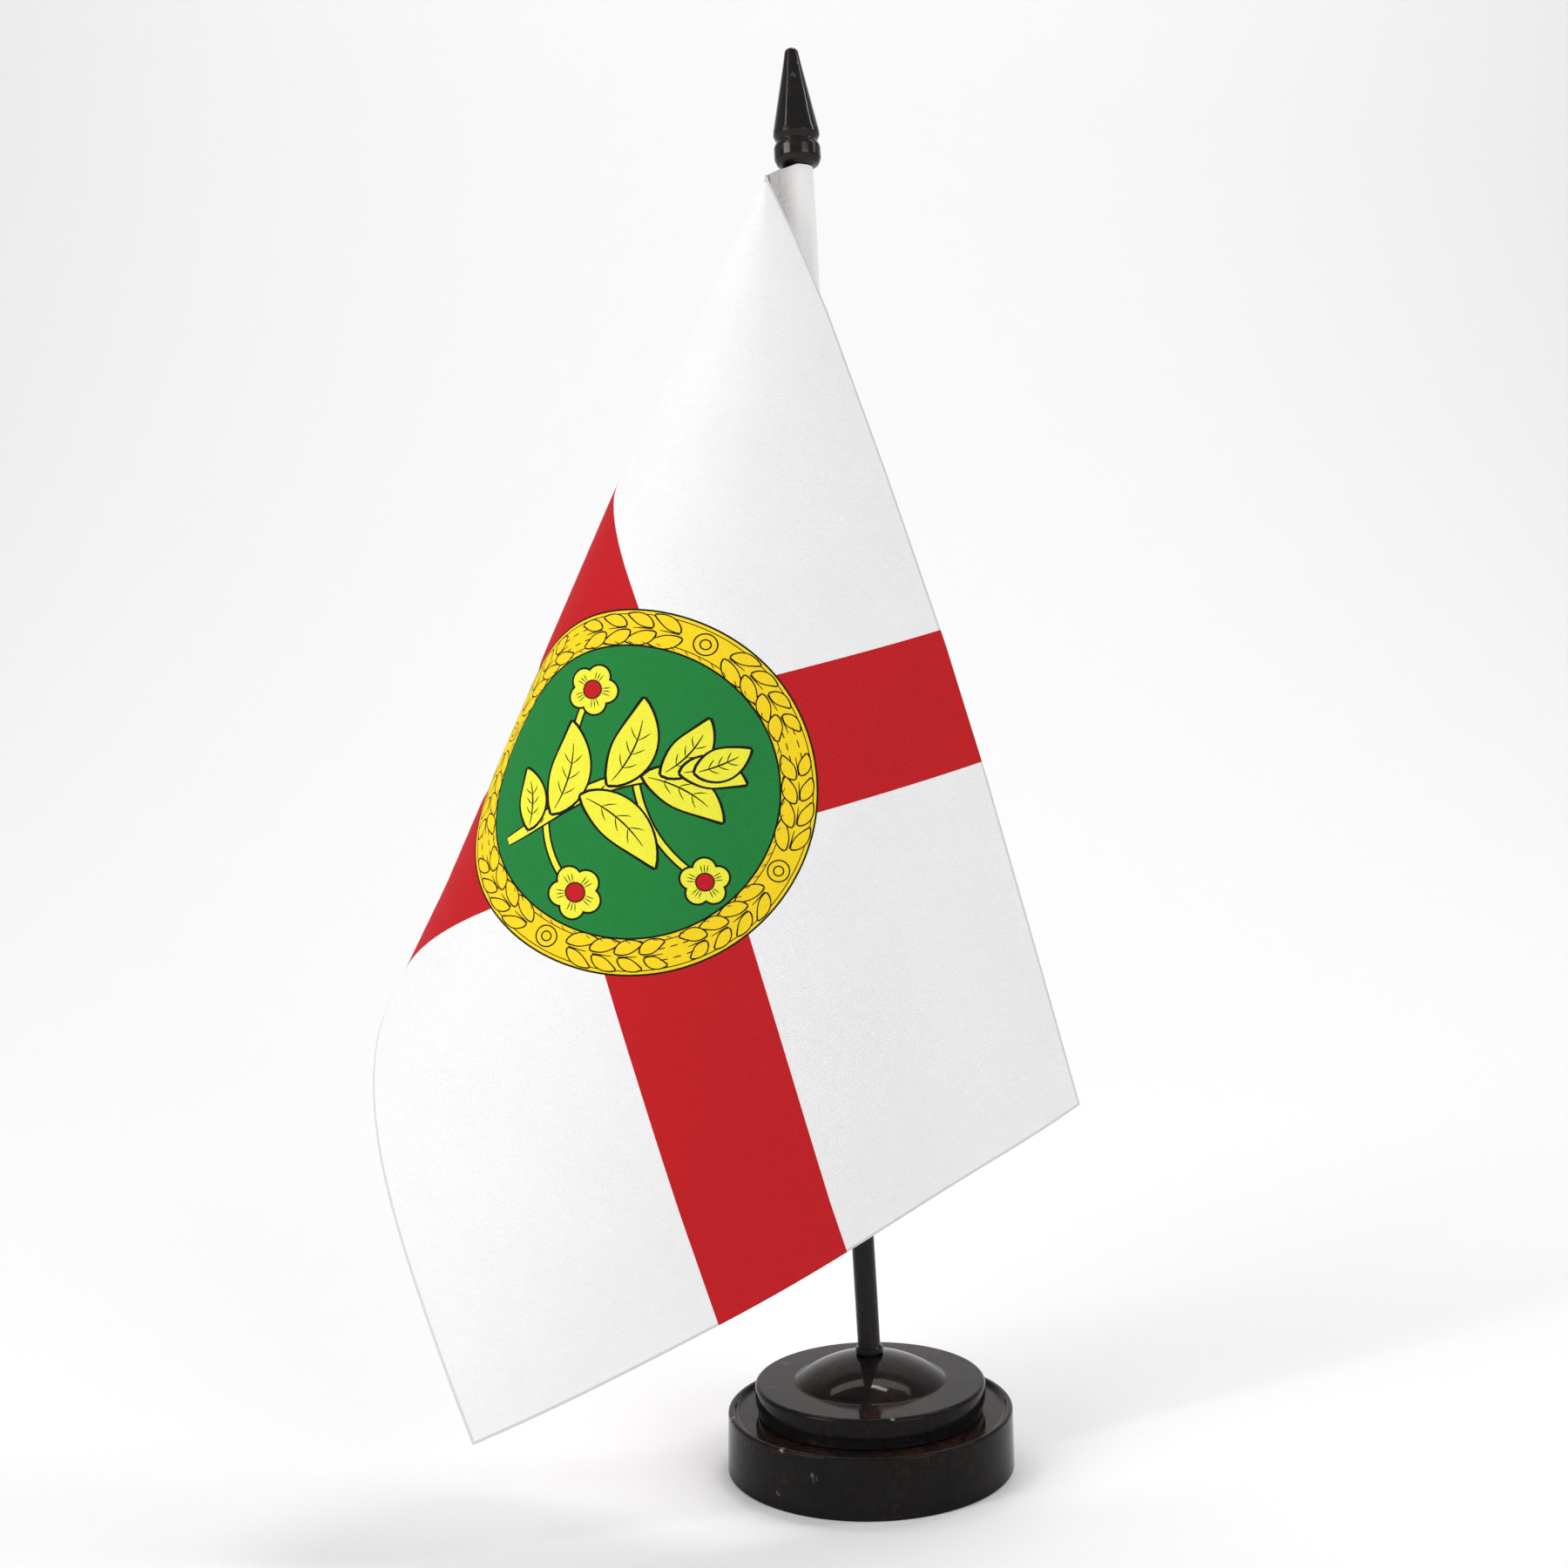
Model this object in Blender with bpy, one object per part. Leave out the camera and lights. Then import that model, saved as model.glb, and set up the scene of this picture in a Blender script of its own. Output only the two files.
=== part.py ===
"""Desk flag stand: a two-tier round plastic base, a plain stick plugged into
its domed socket, a turned spear finial and a small cloth flag that hangs from
a sewn sleeve round the stick.

Metres, +Z up.  The origin is the centre of the base's underside, at table
height.  The viewer stands at -Y and looks along +Y.
"""
import math
import bmesh
import bpy
from mathutils import Matrix, Vector

MM = 0.001

# ---------------------------------------------------------------- base disc
DISC_R_FOOT = 28.6       # outer radius where it stands
DISC_R_RIM = 28.4        # outer radius just under the rounded rim
DISC_RIM_Z = 11.7        # top of the rim bead
DISC_TOP_Z = 10.7        # flat top, sunk inside the rim bead
DISC_WALL = 1.8
DISC_HOLE_R = 20.3       # hole that the cap's skirt snaps into

# ----------------------------------------------------------------- base cap
FLANGE_R = 23.0
FLANGE_TOP_Z = 16.9
FLANGE_BOT_Z = 13.1
NECK_R = 22.5            # step under the flange
NECK_BOT_Z = 11.0        # 0.3 over the disc's flat top
DOME_R = 15.15           # where the dome meets the flat ring
DOME_RISE = 5.0
CAP_WALL = 1.8
SKIRT_R = 19.9
SKIRT_BOT_Z = 6.6
BOSS_R = 5.0
BORE_R = 2.6
BORE_FLOOR_Z = 8.8

# ------------------------------------------------------- stick and its lean
LEAN_DEG = 2.6           # the stick leans to -X in its loose socket
PIVOT = (0.25, 0.0, 15.5)   # point of the stick's axis inside the socket
STICK_R = 2.25
SPIGOT_R = 1.85
SPIGOT_LOW = -6.0        # along the stick's axis, from PIVOT
COLLAR_LOW = 6.75
COLLAR_R = 2.75
FINIAL_LOW = 243.0       # underside of the finial
STICK_TOP = 251.6

# ------------------------------------------------------------------- finial
FINIAL_LEN = 23.6
FINIAL_R = 4.62
FINIAL_BORE_R = 2.5
FINIAL_BORE_DEPTH = 9.0

# --------------------------------------------------------------------- flag
FIELD_FLY = 198.0        # seam to fly edge
HOIST = 140.0
CLOTH_T = 0.40
SEAM_TOP = (-16.7, -8.2, 254.0)   # top hoist corner of the field
SLEEVE_TOP = 242.6       # along the stick's axis
SLEEVE_MID_R = 2.85      # sleeve's mid surface round the stick
SLEEVE_TIP = 9.0         # centre of the flat end of the sleeve
SLEEVE_TIP_R = 0.42
SLEEVE_T = 0.30
# The field hangs as a cone about its top hoist corner.  It leaves the seam
# this far behind the -X direction, and its bend at equal steps of the corner
# angle, from the hoist round to the top edge, is:
FIELD_START = 0.357
FIELD_BEND = (3.8, -1.1, -7.0, -6.5, -3.5, -1.2, -0.5, -0.2)
FIELD_TIP = 3.0          # the cone's point is left open by this much
FIELD_EASE = 2.4         # the front layer stands off the sleeve by this much

# ------------------------------------------------------------------- thread
STITCH_PITCH = 4.5
STITCH_LINE = 7.6        # from the stick's axis
STITCH_W = 0.45
STITCH_T = 0.24
STITCH_START = 9.0       # the fold lies too close above this

SEG = 40


for ob in list(bpy.data.objects):
    bpy.data.objects.remove(ob, do_unlink=True)


# ------------------------------------------------------------------ helpers
def material(name, colour, rough, metal=0.0, sheen=0.0):
    m = bpy.data.materials.new(name)
    m.use_nodes = True
    b = m.node_tree.nodes["Principled BSDF"]
    b.inputs["Base Color"].default_value = (*colour, 1.0)
    b.inputs["Roughness"].default_value = rough
    b.inputs["Metallic"].default_value = metal
    b.inputs["Sheen Weight"].default_value = sheen
    return m


def link(name, mesh, mat, parent=None):
    ob = bpy.data.objects.new(name, mesh)
    bpy.context.scene.collection.objects.link(ob)
    mesh.materials.append(mat)
    if parent is not None:
        ob.parent = parent
    return ob


def rounded(corners, steps=5):
    """Polyline through (r, z, fillet) corners, each rounded by an arc."""
    out = []
    n = len(corners)
    for i, (x, z, f) in enumerate(corners):
        p = Vector((x, z))
        if f <= 0 or i in (0, n - 1):
            out.append((x, z))
            continue
        a = Vector(corners[i - 1][:2]) - p
        b = Vector(corners[i + 1][:2]) - p
        la, lb = a.length, b.length
        a.normalize()
        b.normalize()
        half = math.acos(max(-1.0, min(1.0, a.dot(b)))) / 2
        d = min(f / math.tan(half), 0.49 * la, 0.49 * lb)
        r = d * math.tan(half)
        c = p + (a + b).normalized() * (r / math.sin(half))
        s, e = p + a * d - c, p + b * d - c
        turn = math.atan2(s.x * e.y - s.y * e.x, s.dot(e))
        for k in range(steps + 1):
            t = turn * k / steps
            v = Vector((s.x * math.cos(t) - s.y * math.sin(t),
                        s.x * math.sin(t) + s.y * math.cos(t)))
            out.append((c.x + v.x, c.y + v.y))
    return out


def arc(cx, cz, r, a0, a1, n):
    return [(cx + r * math.cos(a0 + (a1 - a0) * k / n),
             cz + r * math.sin(a0 + (a1 - a0) * k / n)) for k in range(n + 1)]


def turned(name, profile, mat, closed, parent=None, segments=SEG):
    """Spin a profile of (r, z) in millimetres about Z into one solid."""
    bm = bmesh.new()
    vs = []
    for r, z in profile:
        if vs and (Vector((r * MM, 0, z * MM)) - vs[-1].co).length < 2e-5:
            continue
        vs.append(bm.verts.new((r * MM, 0.0, z * MM)))
    edges = [bm.edges.new(p) for p in zip(vs, vs[1:])]
    if closed:
        edges.append(bm.edges.new((vs[-1], vs[0])))
    bmesh.ops.spin(bm, geom=vs + edges, axis=(0, 0, 1), cent=(0, 0, 0),
                   angle=2 * math.pi, steps=segments, use_duplicate=False)
    bmesh.ops.remove_doubles(bm, verts=bm.verts, dist=2e-6)
    bmesh.ops.recalc_face_normals(bm, faces=bm.faces)
    me = bpy.data.meshes.new(name)
    bm.to_mesh(me)
    bm.free()
    me.shade_smooth()
    me.set_sharp_from_angle(angle=math.radians(35))
    return link(name, me, mat, parent)


# ---------------------------------------------------------------- materials
black = material("black_gloss_plastic", (0.012, 0.012, 0.013), 0.16)
black_stick = material("black_stick_plastic", (0.013, 0.013, 0.014), 0.26)
white_cloth = material("white_polyester", (0.86, 0.86, 0.87), 0.80, sheen=0.25)
thread_mat = material("white_thread", (0.82, 0.82, 0.83), 0.70)

# ---------------------------------------------------------------- base disc
disc = rounded([
    (DISC_HOLE_R, DISC_TOP_Z - 0.9, 0),
    (DISC_HOLE_R, DISC_TOP_Z, 0.15),
    (26.7, DISC_TOP_Z, 1.2),
    (27.3, DISC_RIM_Z, 0.4),
    (DISC_R_RIM, DISC_RIM_Z, 0.6),
    (DISC_R_FOOT, 0.0, 0.35),
    (DISC_R_FOOT - DISC_WALL, 0.0, 0.2),
    (DISC_R_RIM - DISC_WALL, DISC_TOP_Z - DISC_WALL, 0.7),
    (DISC_HOLE_R, DISC_TOP_Z - DISC_WALL, 0.15),
    (DISC_HOLE_R, DISC_TOP_Z - 0.92, 0),
], steps=2)
turned("base_disc", disc, black, closed=True)

# ----------------------------------------------------------------- base cap
# One moulding: socket bore, dome, flat ring, flange, neck, snap skirt and
# the boss that carries the socket down to the table.
R = (DOME_R ** 2 + DOME_RISE ** 2) / (2 * DOME_RISE)
cz = FLANGE_TOP_Z + DOME_RISE - R
top_a = math.asin(BORE_R / R)
rim_a = math.asin(DOME_R / R)
cap = [(0.0, BORE_FLOOR_Z), (BORE_R, BORE_FLOOR_Z)]
cap += arc(0, cz, R, math.pi / 2 - top_a, math.pi / 2 - rim_a, 6)
inner_R = R - CAP_WALL
in_a = math.asin(BOSS_R / inner_R)
out_a = math.asin(14.2 / inner_R)
cap += rounded([
    (DOME_R, FLANGE_TOP_Z, 0),
    (FLANGE_R, FLANGE_TOP_Z, 0.75),
    (FLANGE_R, FLANGE_BOT_Z, 0.4),
    (NECK_R, FLANGE_BOT_Z, 0),
    (NECK_R, NECK_BOT_Z, 0.2),
    (SKIRT_R, NECK_BOT_Z, 0),
    (SKIRT_R, 8.55, 0),
    (SKIRT_R + 0.75, 8.45, 0.15),
    (SKIRT_R + 0.75, 7.95, 0.15),
    (SKIRT_R - 0.3, SKIRT_BOT_Z, 0.2),
    (SKIRT_R - 1.6, SKIRT_BOT_Z, 0.2),
    (SKIRT_R - 1.6, FLANGE_TOP_Z - CAP_WALL - 0.2, 0.6),
    (14.2, FLANGE_TOP_Z - CAP_WALL - 0.2, 0),
], steps=2)
cap += arc(0, cz, inner_R, math.pi / 2 - out_a, math.pi / 2 - in_a, 3)
cap += rounded([
    (BOSS_R, cz + inner_R * math.cos(in_a) - 0.4, 0),
    (BOSS_R - 0.2, 0.0, 0.4),
    (0.0, 0.0, 0),
], steps=1)
turned("base_cap", cap, black, closed=False)

# -------------------------------------------------------------------- stick
axis = bpy.data.objects.new("stick_axis", None)
bpy.context.scene.collection.objects.link(axis)
axis.location = Vector(PIVOT) * MM
axis.rotation_euler = (0.0, -math.radians(LEAN_DEG), 0.0)

stick = [(0.0, STICK_TOP)] + rounded([
    (0.0, STICK_TOP, 0),
    (STICK_R, STICK_TOP, 0.5),
    (STICK_R, COLLAR_LOW + 1.5, 0),
    (COLLAR_R, COLLAR_LOW + 0.95, 0.2),
    (COLLAR_R, COLLAR_LOW, 0.15),
    (SPIGOT_R, COLLAR_LOW, 0),
    (SPIGOT_R, SPIGOT_LOW, 0.6),
    (0.0, SPIGOT_LOW, 0),
], steps=2)
turned("stick", stick, black_stick, closed=False, parent=axis, segments=20)

# ------------------------------------------------------------------- finial
finial_axis = bpy.data.objects.new("finial_axis", None)
bpy.context.scene.collection.objects.link(finial_axis)
finial_axis.parent = axis
finial_axis.location = (0.0, 0.0, FINIAL_LOW * MM)
tip_r = 1.55
spear = rounded([
    (0.0, FINIAL_BORE_DEPTH, 0),
    (FINIAL_BORE_R, FINIAL_BORE_DEPTH, 0.3),
    (FINIAL_BORE_R, 0.0, 0.15),
    (3.35, 0.0, 0.4),
    (FINIAL_R, 1.45, 1.1),
    (FINIAL_R, 3.9, 0.9),
    (4.05, 5.05, 0.18),
    (FINIAL_R, 6.2, 0.35),
    (FINIAL_R - 0.06, 7.1, 0.5),
    (2.02, 19.2, 6.0),
    (1.42, 22.3, 0),
], steps=2)
spear += [(tip_r * math.cos(a) * 0.92, 22.35 + 1.25 * math.sin(a))
          for a in [math.pi / 2 * k / 4 for k in range(1, 5)]]
spear[-1] = (0.0, FINIAL_LEN)
turned("finial", spear, black, closed=False, parent=finial_axis, segments=24)

# --------------------------------------------------------------- flag cloth
up = (Matrix.Rotation(-math.radians(LEAN_DEG), 3, 'Y') @ Vector((0, 0, 1)))


def bend_at(s):
    x = s * (len(FIELD_BEND) - 1)
    i = min(int(x), len(FIELD_BEND) - 2)
    return FIELD_BEND[i] + (FIELD_BEND[i + 1] - FIELD_BEND[i]) * (x - i)


def rulings(steps=1440):
    """Unit directions from the field's top hoist corner, every 90/steps
    degrees of flat corner angle, from the hoist (90) to the top edge (0).
    The cloth doesn't stretch, so the direction moves at unit speed."""
    d = -up
    t = Vector((-math.cos(FIELD_START), math.sin(FIELD_START), 0.0))
    t = (t - d * t.dot(d)).normalized()
    h = (math.pi / 2) / steps
    out = [d.copy()]
    for i in range(steps):
        n = d.cross(t)
        t2 = t + (n * bend_at((i + 0.5) / steps) - d) * h
        d = (d + t * h).normalized()
        t = (t2 - d * t2.dot(d)).normalized()
        out.append(d.copy())
    return out


RULE = rulings()


def ruling(phi):
    x = (1 - phi / (math.pi / 2)) * (len(RULE) - 1)
    i = max(0, min(int(x), len(RULE) - 2))
    return RULE[i].lerp(RULE[i + 1], x - i).normalized()


def eased(r, phi):
    """How far the front layer is eased forward over the sleeve."""
    w = max(0.0, min(1.0, (math.radians(52) - phi) / math.radians(26)))
    w = w * w * (3 - 2 * w)
    return FIELD_EASE * w * r / (r + 5.0) * math.exp(-r / 80.0)


def field_mesh():
    corner = math.atan2(HOIST, FIELD_FLY)
    angles = [corner * k / 10 for k in range(11)]
    angles += [corner + (math.pi / 2 - corner) * k / 22 for k in range(1, 23)]
    radial = 6
    a = Vector(SEAM_TOP)
    bm = bmesh.new()
    rows = []
    for phi in angles:
        far = FIELD_FLY / math.cos(phi) if phi <= corner + 1e-9 \
            else HOIST / math.sin(phi)
        d = ruling(phi)
        row = []
        for k in range(radial + 1):
            r = FIELD_TIP + (far - FIELD_TIP) * (k / radial) ** 1.6
            p = a + d * r - Vector((0, eased(r, phi), 0))
            row.append(bm.verts.new(p * MM))
        rows.append(row)
    for p, q in zip(rows, rows[1:]):
        for k in range(radial):
            bm.faces.new((p[k], p[k + 1], q[k + 1], q[k]))
    me = bpy.data.meshes.new("flag_cloth")
    bm.to_mesh(me)
    bm.free()
    return me


field = link("flag_cloth", field_mesh(), white_cloth)
sol = field.modifiers.new("thickness", 'SOLIDIFY')
sol.thickness = CLOTH_T * MM
sol.offset = 0.0
sol.use_even_offset = True

# ------------------------------------------------------------- hoist sleeve
# Local frame of the stick: x to the right, y away, z up the stick.
inv = (Matrix.Translation(Vector(PIVOT))
       @ Matrix.Rotation(-math.radians(LEAN_DEG), 4, 'Y')).inverted()
seam_local = inv @ Vector(SEAM_TOP)
SEAM_DIR = math.atan2(seam_local.y, seam_local.x)
SEAM_DIST = math.hypot(seam_local.x, seam_local.y)
DROOP = SLEEVE_TOP - seam_local.z     # the flat end of the sleeve hangs lower


def sleeve_loop():
    """Closed teardrop round the stick, pointing along +X."""
    a = math.acos((SLEEVE_MID_R - SLEEVE_TIP_R) / SLEEVE_TIP)
    pts = arc(0, 0, SLEEVE_MID_R, a, 2 * math.pi - a, 16)
    pts += arc(SLEEVE_TIP, 0, SLEEVE_TIP_R, -a, a, 4)
    return pts


def turn2(x, y, a):
    return (x * math.cos(a) - y * math.sin(a), x * math.sin(a) + y * math.cos(a))


bm = bmesh.new()
loop = sleeve_loop()
rings = []
for level in (0.0, -HOIST * 0.5, -HOIST):
    ring = []
    for x, y in loop:
        drop = DROOP * max(0.0, min(1.0, x / SEAM_DIST))
        px, py = turn2(x, y, SEAM_DIR)
        ring.append(bm.verts.new((px * MM, py * MM,
                                  (SLEEVE_TOP + level - drop) * MM)))
    rings.append(ring)
for p, q in zip(rings, rings[1:]):
    for k in range(len(loop)):
        j = (k + 1) % len(loop)
        bm.faces.new((p[k], q[k], q[j], p[j]))
bmesh.ops.recalc_face_normals(bm, faces=bm.faces)
me = bpy.data.meshes.new("hoist_sleeve")
bm.to_mesh(me)
bm.free()
sleeve = link("hoist_sleeve", me, white_cloth, axis)
sol = sleeve.modifiers.new("thickness", 'SOLIDIFY')
sol.thickness = SLEEVE_T * MM
sol.offset = 0.0

# ------------------------------------------------------------- seam threads
# A lock stitch holds the sleeve shut: the needle thread runs down one face of
# its flat end and the bobbin thread down the other, each in a row of dashes
# that dip between the stitches.
tilt = math.asin((SLEEVE_MID_R - SLEEVE_TIP_R) / SLEEVE_TIP)
half = (SLEEVE_TIP_R / math.cos(tilt)
        + (SLEEVE_TIP - STITCH_LINE) * math.tan(tilt))
lift = half + (SLEEVE_T + STITCH_T) / 2 + 0.2


def thread(name, side):
    bm = bmesh.new()
    out = Vector((*turn2(0.0, side, SEAM_DIR - side * tilt), 0.0))
    wide = Vector((*turn2(1.0, 0.0, SEAM_DIR - side * tilt), 0.0))
    mid = Vector((*turn2(STITCH_LINE, 0.0, SEAM_DIR), 0.0))
    top = SLEEVE_TOP - DROOP * STITCH_LINE / SEAM_DIST - STITCH_START
    count = int((HOIST - STITCH_START - 2.5) / STITCH_PITCH)
    prev = None
    for k in range(count * 3 + 1):
        crown = k % 3 != 0
        z = top - STITCH_PITCH * (k // 3 + (0.0, 0.22, 0.78)[k % 3])
        w = STITCH_W / 2 * (1.0 if crown else 0.6)
        t = STITCH_T / 2 * (1.0 if crown else 0.7)
        c = mid + out * (lift + (0.1 if crown else 0.0)) + Vector((0, 0, z))
        ring = [bm.verts.new((c + wide * a * w + out * b * t) * MM)
                for a, b in ((-1, -1), (1, -1), (1, 1), (-1, 1))]
        if prev is None:
            bm.faces.new(ring)
        else:
            for j in range(4):
                bm.faces.new((prev[j], ring[j], ring[(j + 1) % 4],
                              prev[(j + 1) % 4]))
        prev = ring
    bm.faces.new(prev)
    bmesh.ops.recalc_face_normals(bm, faces=bm.faces)
    me = bpy.data.meshes.new(name)
    bm.to_mesh(me)
    bm.free()
    return link(name, me, thread_mat, axis)


thread("needle_thread", -1)
thread("bobbin_thread", 1)

bpy.context.view_layer.update()
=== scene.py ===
"""Desk flag stand: the fine surfaces, the printed cloth, its sewn sleeve and
the studio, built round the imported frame.

Lengths are in millimetres until a mesh is made, which is in metres.  The
viewer stands at -Y.  u runs from the hoist to the fly edge of the flat cloth
and v from its top edge down.
"""
import math
import bmesh
import bpy
import numpy as np
from mathutils import Matrix, Vector, geometry


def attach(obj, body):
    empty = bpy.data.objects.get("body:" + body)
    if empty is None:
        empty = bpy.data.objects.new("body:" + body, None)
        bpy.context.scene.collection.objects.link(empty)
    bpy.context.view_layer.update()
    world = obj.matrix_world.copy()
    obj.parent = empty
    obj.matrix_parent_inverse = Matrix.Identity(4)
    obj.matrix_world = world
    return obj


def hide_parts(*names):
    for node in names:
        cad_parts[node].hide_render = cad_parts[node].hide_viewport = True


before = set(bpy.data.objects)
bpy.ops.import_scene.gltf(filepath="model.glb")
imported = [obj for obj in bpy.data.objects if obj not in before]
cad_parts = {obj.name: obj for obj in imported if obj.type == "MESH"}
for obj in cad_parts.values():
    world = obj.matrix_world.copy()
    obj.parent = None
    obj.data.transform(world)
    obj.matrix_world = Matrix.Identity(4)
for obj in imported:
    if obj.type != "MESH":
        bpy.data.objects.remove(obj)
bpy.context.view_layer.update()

MM = 0.001

# ------------------------------------------------- sizes, as the frame has them
DISC_R_FOOT, DISC_R_RIM, DISC_RIM_Z, DISC_TOP_Z = 28.6, 28.4, 11.7, 10.7
DISC_WALL, DISC_HOLE_R = 1.8, 20.3
FLANGE_R, FLANGE_TOP_Z, FLANGE_BOT_Z = 23.0, 16.9, 13.1
NECK_R, NECK_BOT_Z = 22.5, 11.0
DOME_R, DOME_RISE, CAP_WALL = 15.15, 5.0, 1.8
SKIRT_R, SKIRT_BOT_Z = 19.9, 6.6
BOSS_R, BORE_R, BORE_FLOOR_Z = 5.0, 2.6, 8.8

LEAN = math.radians(2.6)
PIVOT = Vector((0.25, 0.0, 15.5))
STICK_R, SPIGOT_R, SPIGOT_LOW = 2.25, 1.85, -6.0
COLLAR_LOW, COLLAR_R = 6.75, 2.75
FINIAL_LOW, STICK_TOP = 243.0, 251.6
FINIAL_LEN, FINIAL_R, FINIAL_BORE_R, FINIAL_BORE_DEPTH = 23.6, 4.62, 2.5, 9.0

FLY, HOIST = 198.0, 140.0
SEAM_TOP = np.array((-16.7, -8.2, 254.0))
SLEEVE_TOP, SLEEVE_MID_R = 242.6, 2.85
SLEEVE_TIP, SLEEVE_TIP_R = 9.0, 0.42
FIELD_START = 0.357
FIELD_BEND = (3.8, -1.1, -7.0, -6.5, -3.5, -1.2, -0.5, -0.2)
FIELD_EASE = 2.4
STITCH_LINE, STITCH_START = 7.6, 9.0
STITCH_PITCH = 3.0
CLOTH_T = 0.22
SEAL = 0.55               # width of the heat-cut edge

STICK_FRAME = Matrix.Translation(PIVOT) @ Matrix.Rotation(-LEAN, 4, 'Y')


# ================================================================= materials
class Nodes:
    """Short names for building a node tree."""

    def __init__(self, name):
        self.mat = bpy.data.materials.new(name)
        self.mat.use_nodes = True
        self.tree = self.mat.node_tree
        self.tree.nodes.clear()
        self.bsdf = self.add("ShaderNodeBsdfPrincipled")
        out = self.add("ShaderNodeOutputMaterial")
        self.wire(self.bsdf.outputs[0], out.inputs[0])

    def add(self, kind, **values):
        n = self.tree.nodes.new(kind)
        for k, v in values.items():
            setattr(n, k, v)
        return n

    def wire(self, a, b):
        self.tree.links.new(a, b)

    def put(self, socket, value):
        if hasattr(value, "links") or isinstance(value, bpy.types.NodeSocket):
            self.wire(value, socket)
        else:
            socket.default_value = value

    def math(self, op, a, b=0.0, c=0.0, clamp=False):
        n = self.add("ShaderNodeMath", operation=op, use_clamp=clamp)
        for i, v in enumerate((a, b, c)):
            self.put(n.inputs[i], v)
        return n.outputs[0]

    def vector(self, op, a, b=(0.0, 0.0, 0.0)):
        n = self.add("ShaderNodeVectorMath", operation=op)
        self.put(n.inputs[0], a)
        self.put(n.inputs[1], b)
        return n.outputs["Value"] if op in ("LENGTH", "DISTANCE", "DOT_PRODUCT") \
            else n.outputs[0]

    def place(self, kind, scale=(1.0, 1.0, 1.0)):
        n = self.add("ShaderNodeTexCoord")
        m = self.add("ShaderNodeMapping")
        self.wire(n.outputs[kind], m.inputs["Vector"])
        m.inputs["Scale"].default_value = scale
        return m.outputs[0]

    def noise(self, where, scale, detail=3.0, rough=0.5, distort=0.0):
        n = self.add("ShaderNodeTexNoise")
        self.wire(where, n.inputs["Vector"])
        n.inputs["Scale"].default_value = scale
        n.inputs["Detail"].default_value = detail
        n.inputs["Roughness"].default_value = rough
        n.inputs["Distortion"].default_value = distort
        return n.outputs[0]

    def ramp(self, value, lo, hi, a=0.0, b=1.0, smooth=True):
        n = self.add("ShaderNodeMapRange")
        n.interpolation_type = 'SMOOTHSTEP' if smooth else 'LINEAR'
        self.put(n.inputs["Value"], value)
        for k, v in (("From Min", lo), ("From Max", hi), ("To Min", a), ("To Max", b)):
            n.inputs[k].default_value = v
        return n.outputs[0]

    def mix(self, f, a, b, kind='MIX'):
        n = self.add("ShaderNodeMix", data_type='RGBA', blend_type=kind)
        self.put(n.inputs[0], f)
        for i, v in ((6, a), (7, b)):
            self.put(n.inputs[i], (*v, 1.0) if isinstance(v, tuple) and len(v) == 3 else v)
        return n.outputs[2]

    def bump(self, height, distance, strength=1.0, under=None):
        n = self.add("ShaderNodeBump")
        n.inputs["Strength"].default_value = strength
        n.inputs["Distance"].default_value = distance
        self.wire(height, n.inputs["Height"])
        if under is not None:
            self.wire(under, n.inputs["Normal"])
        return n.outputs[0]


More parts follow.
